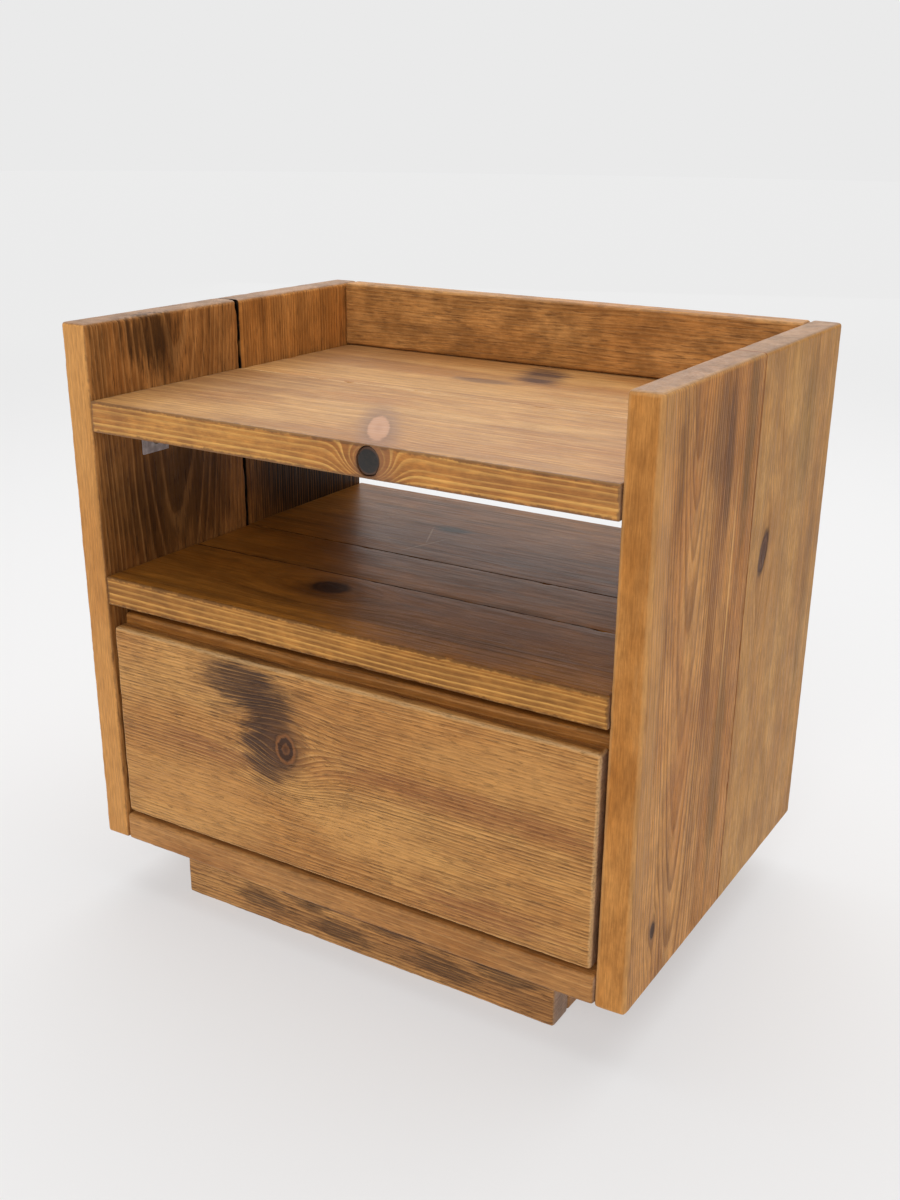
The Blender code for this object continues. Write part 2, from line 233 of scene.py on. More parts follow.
def make_ring_group():
    """Growth rings of a log whose pith runs beside the board. Late is the hard, dense part of each ring."""
    inputs = [
        ("Vector", "V", (0, 0, 0)),
        ("Pith", "V", (0, 0, 0.1)),
        ("Lean", "V", (0, 0, 0)),
        ("Ring Width", "F", 0.003),
        ("Waver", "F", 0.004),
        ("Seed", "F", 0.0),
        ("Lift", "F", 0.0),
    ]
    tree, take, give = start_group("growth rings", inputs, [("Late", "F"), ("Early", "F")])
    along, across, through = split(tree, take["Vector"])
    drift = vector_calc(tree, "MULTIPLY", take["Lean"], join(tree, along, along, along))
    centre = vector_calc(tree, "ADD", take["Pith"], drift)
    away = vector_calc(tree, "SUBTRACT", join(tree, 0.0, across, through), centre)
    away = vector_calc(tree, "MULTIPLY", away, (0, 1, 1))
    radius = calc(tree, "ADD", vector_calc(tree, "LENGTH", away), take["Lift"])
    seeded = vector_calc(tree, "ADD", take["Vector"], join(tree, take["Seed"], take["Seed"], take["Seed"]))
    slow = swing(tree, seeded, (3.2, 16, 16))
    quick = swing(tree, seeded, (26, 120, 120))
    radius = nudge(tree, radius, slow, calc(tree, "MULTIPLY", take["Waver"], 4.0))
    radius = nudge(tree, radius, quick, calc(tree, "MULTIPLY", take["Waver"], 0.22))
    count = calc(tree, "DIVIDE", radius, take["Ring Width"])
    uneven = cloud(tree, join(tree, count, take["Seed"], 0.0), (0.37, 1, 1), detail=1.0)
    count = nudge(tree, count, uneven, 2.2)
    step = calc(tree, "FRACT", count)
    rise = ease(tree, step, 0.42, 0.84)
    fall = ease(tree, step, 0.92, 1.0, 1.0, 0.0)
    year = {"W": calc(tree, "FLOOR", count)}
    each = add(tree, "ShaderNodeTexWhiteNoise", year, noise_dimensions="1D").outputs["Value"]
    share = calc(tree, "MULTIPLY_ADD", each, 0.6, 0.4)
    feed(tree, give["Late"], calc(tree, "MULTIPLY", calc(tree, "MULTIPLY", rise, fall), share))
    fresh = calc(tree, "MULTIPLY", ease(tree, step, 0.0, 0.05), ease(tree, step, 0.12, 0.34, 1.0, 0.0))
    feed(tree, give["Early"], calc(tree, "MULTIPLY", fresh, share))


def make_fibre_group():
    """Uneven stain, bands, streaks, fine fibres and short open dashes, all drawn out along the grain."""
    inputs = [("Vector", "V", (0, 0, 0)), ("Seed", "F", 0.0)]
    outputs = [("Warmth", "F"), ("Mottle", "F"), ("Band", "F"), ("Streak", "F"), ("Fine", "F"), ("Dash", "F")]
    tree, take, give = start_group("fibres", inputs, outputs)
    seeded = vector_calc(tree, "ADD", take["Vector"], join(tree, take["Seed"], take["Seed"], take["Seed"]))
    warmth = cloud(tree, seeded, (6, 18, 18), detail=4.0, roughness=0.6)
    feed(tree, give["Warmth"], ease(tree, warmth, 0.36, 0.64))
    mottle = cloud(tree, seeded, (30, 50, 50), detail=5.0, roughness=0.68)
    feed(tree, give["Mottle"], ease(tree, mottle, 0.34, 0.66))
    band = cloud(tree, seeded, (4.5, 62, 62), detail=4.0, roughness=0.62)
    feed(tree, give["Band"], ease(tree, band, 0.46, 0.70))
    streak = cloud(tree, seeded, (17, 430, 430), detail=3.0, roughness=0.6)
    feed(tree, give["Streak"], ease(tree, streak, 0.38, 0.66))
    feed(tree, give["Fine"], cloud(tree, seeded, (70, 1000, 1000), detail=2.5, roughness=0.65))
    dash = cloud(tree, seeded, (60, 820, 820), detail=3.0, roughness=0.6)
    feed(tree, give["Dash"], ease(tree, dash, 0.56, 0.66))


def make_patch_group():
    """A soft patch, longer along the grain, with a ragged outline."""
    inputs = [
        ("Vector", "V", (0, 0, 0)),
        ("Place", "V", (0, 0, 0)),
        ("Size", "V", (0.03, 0.02, 1.0)),
        ("Ragged", "F", 0.7),
        ("Slant", "V", (0, 0, 0)),
    ]
    tree, take, give = start_group("patch", inputs, [("Mask", "F")])
    away = lean_over(tree, vector_calc(tree, "SUBTRACT", take["Vector"], take["Place"]), take["Slant"])
    reach = vector_calc(tree, "LENGTH", vector_calc(tree, "DIVIDE", away, take["Size"]))
    combed = swing(tree, take["Vector"], (34, 240, 240), detail=4.0, roughness=0.65)
    reach = nudge(tree, reach, combed, calc(tree, "MULTIPLY", take["Ragged"], 2.0))
    feed(tree, give["Mask"], ease(tree, reach, 0.35, 1.1, 1.0, 0.0))


def make_edge_group():
    """How near a point is to a board's edges: 1 on the arris, 0 away from it."""
    inputs = [
        ("Vector", "V", (0, 0, 0)),
        ("Low", "V", (0, 0, 0)),
        ("High", "V", (1, 1, 1)),
        ("Reach", "F", 0.002),
        ("Ragged", "F", 1.0),
    ]
    tree, take, give = start_group("worn edge", inputs, [("Mask", "F")])
    below = vector_calc(tree, "SUBTRACT", take["Vector"], take["Low"])
    above = vector_calc(tree, "SUBTRACT", take["High"], take["Vector"])
    x, y, z = split(tree, vector_calc(tree, "MINIMUM", below, above))
    lesser = calc(tree, "MINIMUM", x, y)
    greater = calc(tree, "MAXIMUM", x, y)
    second = calc(tree, "MAXIMUM", lesser, calc(tree, "MINIMUM", greater, z))
    ragged = swing(tree, take["Vector"], (170, 170, 170), detail=4.0, roughness=0.65)
    share = calc(tree, "DIVIDE", second, take["Reach"])
    share = nudge(tree, share, ragged, calc(tree, "MULTIPLY", take["Ragged"], 2.0))
    feed(tree, give["Mask"], ease(tree, share, 0.5, 1.3, 1.0, 0.0))


# ---- waxed pine ----

AXES = "xyz"
GRAIN_ORDER = {"x": (0, 1, 2), "y": (1, 0, 2), "z": (2, 1, 0)}  # along, across and through the board


def in_grain(point, grain):
    return tuple(point[axis] for axis in GRAIN_ORDER[grain])


PINE = {
    "pith": (0.0, 0.0, -0.12),  # where the heart of the log runs, from the board's middle
    "lean": (0.0, 0.0, 0.0),
    "ring": 0.0035,
    "waver": 0.003,
    "pale": colour(206, 150, 90),
    "warm": colour(184, 122, 62),
    "deep": colour(116, 72, 36),
    "line": colour(112, 68, 32),
    "bright": colour(236, 188, 124),  # the soft wood that opens each ring
    "end": colour(172, 140, 116),  # the sawn ends: their own tone, made paler and greyer as painted sheen on the boards' tops
    "mottle": 0.35,  # how cloudy the stain lies
    "glint": 0.18,  # of the bright ring lines
    "contrast": 0.35,  # of the ring lines
    "band": 0.45,
    "streak": 0.15,
    "dash": 0.30,
    "relief": 0.5,
    "gloss": 0.47,
    # the colour laid along the arrises: wear, and where it is raised, as on the drawer front, also painted
    # highlight
    "worn": colour(214, 166, 110),
    "worn_amount": 0.25,
    "reach": 0.0014,
    "grime": 0.35,  # dark wax caught along the arrises
    "grime_reach": 0.0013,
    "shine": 0.25,
    "seam_colour": colour(70, 40, 18),
    "seam_amount": 0.7,
    "seam_from": 0.35,
    "seam_reach": 0.0013,
    "ragged": 0.45,  # of the arrises' wear and painted highlight
    "front": {},  # what differs on the edge that faces the front
}


def figure(tree, look, fields):
    """Plain wood: a pale ground with warmer clouds, deep bands and streaks, and the lines of the rings."""
    wood = blend(tree, fields["Warmth"], look["pale"], look["warm"])
    for field in ("Mottle", "Band", "Streak"):
        wood = lay(tree, wood, look["deep"], fields[field], look[field.lower()])
    wood = lay(tree, wood, look["line"], fields["Late"], look["contrast"])
    return lay(tree, wood, look["bright"], fields["Early"], look["glint"])


def facing(tree, axis, sign, start=0.55, end=0.85):
    """1 where the surface faces along an axis: sign is +1 or -1, or 0 for both ways."""
    normal = add(tree, "ShaderNodeNewGeometry").outputs["Normal"]
    part = split(tree, normal)[axis]
    part = calc(tree, "MULTIPLY", part, sign) if sign else calc(tree, "ABSOLUTE", part)
    return ease(tree, part, start, end)


def pine(name, low, high, grain, seed, knots=(), patches=(), **changes):
    """Stained and waxed pine for one board. Knots and patches are given in the cabinet's own directions."""
    look = {**PINE, **changes}
    material, tree, shader, place = new_material(name)
    axes = split(tree, place)
    vector = join(tree, *[axes[axis] for axis in GRAIN_ORDER[grain]])
    marks = []
    lift = 0.0
    for knot in knots:
        made = use(
            tree,
            "knot",
            vector=vector,
            place=in_grain(knot["place"], grain),
            size=in_grain(knot["size"], grain),
            flow=in_grain(knot["flow"], grain),
            push=knot.get("push", 0.9),
            lift=knot.get("lift", 0.0),
            slant=knot.get("slant", (0.0, 0.0, 0.0)),
        )
        marks.append((knot, made))
        vector = made["Vector"]
        lift = calc(tree, "ADD", made["Lift"], lift)
    middle = Vector(in_grain((low + high) / 2, grain))
    pith = Vector(look["pith"]) + Vector((0, middle.y, middle.z)) - Vector(look["lean"]) * middle.x
    rings = use(
        tree,
        "growth rings",
        vector=vector,
        pith=tuple(pith),
        lean=look["lean"],
        ring_width=look["ring"],
        waver=look["waver"],
        seed=seed,
        lift=lift,
    )
    fibres = use(tree, "fibres", vector=vector, seed=seed)
    fields = {label: fibres[label] for label in ("Warmth", "Mottle", "Band", "Streak")}
    fields.update({label: rings[label] for label in ("Late", "Early")})
    wood = figure(tree, look, fields)
    if look["front"]:
        edge_wood = figure(tree, {**look, **look["front"]}, fields)
        forward = facing(tree, 1, -1)
        wood = blend(tree, forward, wood, edge_wood)
        facing_away = calc(tree, "SUBTRACT", 1.0, calc(tree, "MULTIPLY", forward, 0.8))
    # End grain gets its own colour, paler and greyer than the faces; on the boards' tops this is partly
    # painted sheen.
    ends = facing(tree, AXES.index(grain), 0)
    dark_end = tuple(part * 0.62 for part in look["end"][:3]) + (1.0,)
    wood = lay(tree, wood, blend(tree, fibres["Mottle"], look["end"], dark_end), ends, 0.85)
    fine = ease(tree, fibres["Fine"], 0.3, 0.7, 0.82, 1.12)
    off_ends = calc(tree, "SUBTRACT", 1.0, calc(tree, "MULTIPLY", ends, 0.7))
    wood = blend(tree, off_ends, wood, join(tree, fine, fine, fine), "MULTIPLY")
    dashes = calc(tree, "MULTIPLY", fibres["Dash"], calc(tree, "SUBTRACT", 1.0, ends))
    if look["front"]:
        dashes = calc(tree, "MULTIPLY", dashes, facing_away)
    wood = blend(tree, calc(tree, "MULTIPLY", dashes, look["dash"], clamp=True), wood, colour(70, 40, 18))
    for stain in patches:
        mask = use(
            tree,
            "patch",
            vector=vector,
            place=in_grain(stain["place"], grain),
            size=in_grain(stain["size"], grain),
            ragged=stain.get("ragged", 0.6),
            slant=stain.get("slant", (0.0, 0.0, 0.0)),
        )["Mask"]
        combed = calc(tree, "SUBTRACT", 1.0, calc(tree, "MULTIPLY", rings["Early"], 0.55))
        mask = calc(tree, "MULTIPLY", calc(tree, "MULTIPLY", mask, combed), stain["amount"], clamp=True)
        wood = blend(tree, mask, wood, stain["colour"])
    for knot, made in marks:
        year = calc(tree, "SINE", calc(tree, "MULTIPLY", made["Reach"], knot.get("rings", 13.0)))
        heart = blend(tree, ease(tree, year, -0.6, 0.9), knot["colour"], knot["light"])
        centre = ease(tree, made["Reach"], 0.1, 0.5, 0.8, 0.0)
        heart = blend(tree, centre, heart, knot.get("centre", knot["colour"]))
        wood = lay(tree, wood, knot["halo_colour"], made["Halo"], knot.get("halo", 0.5))
        wood = lay(tree, wood, heart, made["Core"], knot.get("core", 1.0))
        wood = lay(tree, wood, colour(60, 34, 16), made["Rim"], knot.get("rim", 0.6))
    ends_of_board = {"vector": place, "low": look["edge_low"], "high": look["edge_high"]}
    edge = use(tree, "worn edge", reach=look["reach"], ragged=look["ragged"], **ends_of_board)
    # lighter arrises: wear, and on the drawer front also painted highlight
    wood = lay(tree, wood, look["worn"], edge["Mask"], look["worn_amount"])
    grime = use(tree, "worn edge", reach=look["grime_reach"], ragged=1.6, **ends_of_board)
    wood = lay(tree, wood, colour(84, 50, 24), grime["Mask"], look["grime"])
    for axis, level in look["seams"]:
        gap = calc(tree, "ABSOLUTE", calc(tree, "SUBTRACT", axes[axis], level))
        breaks = cloud(tree, place, (23, 23, 23), detail=3.0)
        broken = ease(tree, breaks, look["seam_from"], look["seam_from"] + 0.08)
        narrow = ease(tree, gap, look["seam_reach"] * 0.4, look["seam_reach"], 1.0, 0.0)
        line = calc(tree, "MULTIPLY", narrow, broken)
        wood = lay(tree, wood, look["seam_colour"], line, look["seam_amount"])
    feed(tree, shader.inputs["Base Color"], wood)
    rough = ease(tree, fibres["Streak"], 0.0, 1.0, look["gloss"] - 0.04, look["gloss"] + 0.08)
    feed(tree, shader.inputs["Roughness"], rough)
    height = calc(tree, "MULTIPLY_ADD", rings["Late"], 0.8, calc(tree, "MULTIPLY", fibres["Fine"], 0.6))
    height = calc(tree, "SUBTRACT", height, calc(tree, "MULTIPLY", dashes, 0.9))
    height = calc(tree, "MULTIPLY_ADD", fibres["Streak"], 0.3, height)
    with_bump(tree, shader, look["relief"], 0.0005, height)
    shader.inputs["Specular IOR Level"].default_value = look["shine"]
    return material


# ---- boards ----

STEP_ALONG = 0.003  # spacing of the cuts that let an arris wear unevenly
STEP_ACROSS = 0.0065
ARRIS = 0.0026
SNUG_ARRIS = 0.0004  # where a board is glued edge to edge with the next
OUTLINE_ANGLE = 0.7  # between the normals of two faces that meet on a board's own edge
SHARP_ANGLE = math.radians(36)
SEAM_DEPTH = 0.002  # how near the glued face a point is to be drawn back with it


def add_object(name, data):
    made = bpy.data.objects.new(name, data)
    bpy.context.scene.collection.objects.link(made)
    return made


def as_mesh(name, shape):
    mesh = bpy.data.meshes.new(name)
    shape.to_mesh(mesh)
    shape.free()
    return mesh


def gridded_box(low, high, steps):
    """A box between two corners, cut into a grid with about the given spacing along each axis."""
    shape = bmesh.new()
    bmesh.ops.create_cube(shape, size=1.0)
    bmesh.ops.scale(shape, vec=high - low, verts=shape.verts)
    bmesh.ops.translate(shape, vec=(low + high) / 2, verts=shape.verts)
    for axis in range(3):
        cuts = max(1, round((high[axis] - low[axis]) / steps[axis])) - 1
        edges = [e for e in shape.edges if abs(e.verts[0].co[axis] - e.verts[1].co[axis]) > 1e-6]
        bmesh.ops.subdivide_edges(shape, edges=edges, cuts=cuts, use_grid_fill=True)
    return shape


def round_edges(shape, low, high, radius, snug=()):
    """Rounds the box's own edges: fully where they are free, barely where a face meets the next board."""
    close = 1e-5
    tight = [(AXES.index(face[1]), low if face[0] == "-" else high) for face in snug]

    def on_outline(edge):
        faces = edge.link_faces
        return len(faces) == 2 and faces[0].normal.angle(faces[1].normal) > OUTLINE_ANGLE

    def is_snug(edge):
        return any(all(abs(v.co[axis] - end[axis]) < close for v in edge.verts) for axis, end in tight)

    shape.normal_update()
    settings = {
        "offset_type": "OFFSET", "profile": 0.5, "affect": "EDGES", "material": -1, "clamp_overlap": True,
    }
    free = [e for e in shape.edges if on_outline(e) and not is_snug(e)]
    bmesh.ops.bevel(shape, geom=free, offset=radius, segments=4, **settings)
    if tight:
        shape.normal_update()
        close_edges = [e for e in shape.edges if on_outline(e) and is_snug(e)]
        bmesh.ops.bevel(shape, geom=close_edges, offset=SNUG_ARRIS, segments=2, **settings)


def wear_edges(shape, low, high, radius, amount, chips, seed):
    """Rubs the arrises back unevenly, always inwards, with a deeper chip here and there."""
    reach = radius * 1.6
    for vert in shape.verts:
        gaps = [min(vert.co[i] - low[i], high[i] - vert.co[i]) for i in range(3)]
        second = sorted(gaps)[1]
        if second > reach:
            continue
        near = 1.0 - second / reach
        spot = vert.co * 90 + Vector((seed, seed * 2, seed * 3))
        rub = 0.5 + 0.5 * noise.noise(spot) + 0.35 * noise.noise(spot * 3.1)
        chip = max(0.0, noise.noise(spot * 0.9 + Vector((7, 3, 1))) - 0.42) * chips
        depth = near * (amount * max(0.0, rub) + chip)
        for i in range(3):
            if gaps[i] < reach:
                vert.co[i] += depth if vert.co[i] - low[i] < high[i] - vert.co[i] else -depth


def finish_piece(name, shape, material, body, replaced):
    bmesh.ops.recalc_face_normals(shape, faces=shape.faces)
    mesh = as_mesh(name, shape)
    mesh.shade_smooth()
    mesh.set_sharp_from_angle(angle=SHARP_ANGLE)
    mesh.materials.append(material)
    piece = add_object(name, mesh)
    piece.modifiers.new("even shading", "WEIGHTED_NORMAL").keep_sharp = True
    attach(piece, body)
    if replaced:
        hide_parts(*replaced)


def open_seam(shape, snug, low, high, width, seed):
    """Draws a shrunken board back from its neighbour, unevenly, which leaves a crack along the inner face."""
    axis = AXES.index(snug[1])
    inward = -1 if snug[0] == "+" else 1
    plane = (high if snug[0] == "+" else low)[axis]
    for vert in shape.verts:
        if abs(vert.co[axis] - plane) > SEAM_DEPTH:
            continue
        fade = min(1.0, max(0.0, (vert.co.x - low.x) / (high.x - low.x)))
        slow, quick = (noise.noise(Vector((seed, 0, vert.co.z * rate))) for rate in (55, 260))
        ragged = 0.55 + 0.9 * slow + 0.4 * quick
        vert.co[axis] += inward * width * fade * min(1.0, max(0.0, ragged))


def cut_away(shape, cutter_shape):
    """The first shape with the second taken out of it."""
    things = []
    for name, part in (("board being cut", shape), ("cutter", cutter_shape)):
        bmesh.ops.recalc_face_normals(part, faces=part.faces)
        things.append(add_object(name, as_mesh(name, part)))
    board, cutter = things
    cut = board.modifiers.new("cut", "BOOLEAN")
    cut.operation = "DIFFERENCE"
    cut.object = cutter
    solid = board.evaluated_get(bpy.context.evaluated_depsgraph_get()).to_mesh()
    result = bmesh.new()
    result.from_mesh(solid)
    for thing in things:
        bpy.data.objects.remove(thing, do_unlink=True)
    return result


def plank(
    node, grain, seed, snug=(), arris=ARRIS, wear=0.0005, chips=0.002, crack=0.0, cutter=None,
    body="cabinet", slot="waxed_pine", **look,
):
    """One board in the place of its plain node."""
    low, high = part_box(node)
    steps = [STEP_ALONG if axis == grain else STEP_ACROSS for axis in AXES]
    shape = gridded_box(low, high, steps)
    round_edges(shape, low, high, arris, snug)
    wear_edges(shape, low, high, arris, wear, chips, seed)
    if crack:
        open_seam(shape, snug[0], low, high, crack, seed)
    if cutter:
        shape = cut_away(shape, cutter)
    edge_low, edge_high = Vector(low), Vector(high)
    seams = []
    for face in snug:
        axis = AXES.index(face[1])
        if face[0] == "-":
            edge_low[axis] -= NO_EDGE
            seams.append((axis, low[axis]))
        else:
            edge_high[axis] += NO_EDGE
            seams.append((axis, high[axis]))
    look = {"edge_low": tuple(edge_low), "edge_high": tuple(edge_high), "seams": seams, **look}
    material = pine(f"pine {node}", low, high, grain, seed, **look)
    finish_piece(f"{node}_plank", shape, material, body, [node])


def make_sides():
    """The four upright boards. The left pair is dark inside: darker wood, with painted shade in the cubby and
    a soot mark above the tray.
    """
    # Painted shade: near-black laid on the left boards' inner faces in the cubby, where little light reaches.
    shade = colour(32, 17, 6)
    soot = colour(44, 26, 13)
    crack = {"seam_colour": colour(12, 7, 4), "seam_amount": 1.0, "seam_from": 0.30, "seam_reach": 0.0022}
    inner = INNER_LEFT
    plank(
        "left_side_front_board", "z", 11, snug=("+y",), crack=0.0019,
        pale=colour(206, 142, 78), warm=colour(172, 112, 56), deep=colour(88, 52, 22),
        line=colour(64, 36, 14), ring=0.0024, contrast=0.4, streak=0.2, dash=0.5, waver=0.0018,
        pith=(0.0, 0.0, -0.10), lean=(0.0, 0.02, 0.03), shine=0.12,
        front={
            "pale": colour(222, 160, 92), "warm": colour(208, 144, 78), "streak": 0.05, "band": 0.1,
            "mottle": 0.1, "contrast": 0.1, "glint": 0.0,
        },
        patches=[
            patch((inner, -0.100, 0.430), (SKIN, 0.034, 0.026), soot, 0.72, ragged=1.15),
            patch((inner, -0.086, 0.418), (SKIN, 0.020, 0.030), soot, 0.5, ragged=1.15),
            # painted shade in the cubby
            patch((inner, -0.085, 0.31), (SKIN, 0.085, 0.066), shade, 0.68, ragged=0.3),
        ],
        **crack,
    )
    plank(
        "left_side_rear_board", "z", 12, snug=("-y",), crack=0.0012,
        pale=colour(224, 156, 84), warm=colour(206, 136, 66), deep=colour(112, 68, 30),
        line=colour(108, 62, 24), ring=0.0028, contrast=0.35, dash=0.4, waver=0.0018,
        pith=(0.0, 0.11, -0.05), shine=0.12,
        # painted shade in the cubby's rear
        patches=[patch((inner, 0.10, 0.30), (SKIN, 0.14, 0.100), shade, 0.97, ragged=0.3)],
        **crack,
    )
    outside = {
        "shine": 0.1, "wear": 0.0003, "chips": 0.0012, "streak": 0.05, "grime": 0.1,
        "seam_colour": colour(128, 68, 30),
    }
    plank(
        "right_side_front_board", "z", 13, snug=("+y",),
        pale=colour(226, 162, 92), warm=colour(208, 138, 70), deep=colour(132, 84, 44),
        line=colour(104, 62, 28), ring=0.0029, contrast=0.55, band=0.42, mottle=0.4, waver=0.0016,
        pith=(0.0, -0.02, -0.0194), lean=(0.0, -0.03, 0.06),
        worn=colour(216, 170, 114), worn_amount=0.3, reach=0.0026, ragged=0.3,
        front={
            "pale": colour(208, 144, 76), "warm": colour(192, 124, 56), "deep": colour(138, 86, 38),
            "contrast": 0.15, "band": 0.25, "mottle": 0.5, "glint": 0.0,
        },
        patches=[
            patch((RIGHT, -0.150, 0.30), (SKIN, 0.014, 0.26), colour(220, 168, 108), 0.36),
            patch((RIGHT, -0.034, 0.29), (SKIN, 0.0014, 0.12), colour(232, 178, 108), 0.85),
            patch((RIGHT, -0.128, 0.40), (SKIN, 0.008, 0.05), colour(104, 66, 38), 0.55),
            patch((RIGHT, -0.018, 0.395), (SKIN, 0.012, 0.085), colour(98, 76, 44), 0.6),
            patch((RIGHT, -0.068, 0.405), (SKIN, 0.020, 0.05), colour(104, 68, 44), 0.6),
            patch((RIGHT, -0.052, 0.385), (SKIN, 0.011, 0.07), colour(90, 56, 36), 0.75),
            patch((RIGHT, -0.062, 0.29), (SKIN, 0.010, 0.15), colour(126, 76, 36), 0.6),
            patch((RIGHT, -0.030, 0.17), (SKIN, 0.014, 0.11), colour(116, 86, 44), 0.6),
        ],
        knots=[
            {
                "place": (RIGHT, -0.124, 0.092), "size": (THROUGH, 0.0035, 0.006),
                "flow": (THROUGH, 0.012, 0.030), "colour": colour(70, 42, 24), "light": colour(84, 52, 30),
                "halo_colour": colour(120, 78, 44),
            },
        ],
        **outside,
    )
    plank(
        "right_side_rear_board", "z", 14, snug=("-y",),
        pale=colour(222, 166, 96), warm=colour(206, 146, 78), deep=colour(140, 94, 50),
        line=colour(130, 84, 42), ring=0.0027, contrast=0.35, band=0.3, mottle=0.45, dash=0.12,
        waver=0.002, pith=(0.0, 0.13, -0.08),
        knots=[
            {
                "place": (RIGHT, 0.029, 0.307), "size": (THROUGH, 0.0070, 0.0150),
                "flow": (THROUGH, 0.018, 0.055), "slant": (0.0, -0.23, 0.0),
                "colour": colour(92, 58, 40), "light": colour(112, 74, 50),
                "halo_colour": colour(142, 94, 48), "halo": 0.45,
            },
        ],
        patches=[
            patch((RIGHT, 0.10, 0.38), (SKIN, 0.020, 0.07), colour(120, 90, 48), 0.45),
            patch((RIGHT, 0.135, 0.25), (SKIN, 0.012, 0.15), colour(126, 86, 42), 0.45),
        ],
        **{**outside, "streak": 0.04},
    )


def plug_outline(radius, depth, rounding):
    """Half the section of a round plug, from the middle of its face to the middle of its back."""
    return [
        (0.0, 0.0),
        (radius * 0.72, 0.0001),
        (radius - rounding, 0.0003),
        (radius - rounding * 0.3, 0.0003 + rounding * 0.35),
        (radius, 0.0003 + rounding),
        (radius, depth),
        (0.0, depth),
    ]


def turned(outline, centre, ragged=0.0, tall=1.0, steps=48):
    """A turned solid whose axis runs back from its centre. Ragged and tall take it out of round."""
    shape = bmesh.new()
    points = [shape.verts.new((radius, depth, 0.0)) for radius, depth in outline]
    edges = [shape.edges.new(pair) for pair in zip(points, points[1:])]
    bmesh.ops.spin(
        shape, geom=points + edges, axis=(0, 1, 0), cent=(0, 0, 0), steps=steps, angle=math.tau,
        use_merge=True,
    )
    bmesh.ops.remove_doubles(shape, verts=shape.verts, dist=1e-6)
    for vert in shape.verts:
        angle = math.atan2(vert.co.z, vert.co.x)
        swell = 1.0 + ragged * noise.noise(Vector((math.cos(angle) * 1.7, math.sin(angle) * 1.7, 0.3)))
        vert.co.x *= swell
        vert.co.z *= swell * tall
    bmesh.ops.translate(shape, vec=centre, verts=shape.verts)
    return shape


DEAD_KNOT = Vector((0.0322, FRONT, 0.3829))
DEAD_KNOT_RADIUS = 0.0084
DEAD_KNOT_SHAPE = {"ragged": 0.06, "tall": 1.1}
DEAD_KNOT_DEPTH = 0.006
SOCKET_DEPTH = 0.0065
SOCKET_RADIUS = DEAD_KNOT_RADIUS + 0.0004
SOCKET_START = -0.004  # in front of the board, so that the cut is clean


def bark(name):
    """The black, cracked wood of a dead knot, with a painted highlight round its rim."""
    material, tree, shader, place = new_material(name)
    away = vector_calc(tree, "SUBTRACT", place, tuple(DEAD_KNOT))
    reach = vector_calc(tree, "LENGTH", vector_calc(tree, "MULTIPLY", away, (1, 0, 1)))
    # Painted highlight: a lighter ring round the knot's edge.
    rim = ease(tree, reach, DEAD_KNOT_RADIUS * 0.82, DEAD_KNOT_RADIUS * 1.0)
    mottle = cloud(tree, place, (420, 420, 420), detail=4.0, roughness=0.7)
    wood = blend(tree, ease(tree, mottle, 0.35, 0.7), colour(20, 15, 11), colour(44, 36, 30))
    feed(tree, shader.inputs["Base Color"], lay(tree, wood, colour(92, 58, 38), rim, 0.7))
    feed(tree, shader.inputs["Roughness"], ease(tree, mottle, 0.3, 0.7, 0.42, 0.62))
    with_bump(tree, shader, 0.5, 0.0003, mottle)
    return material


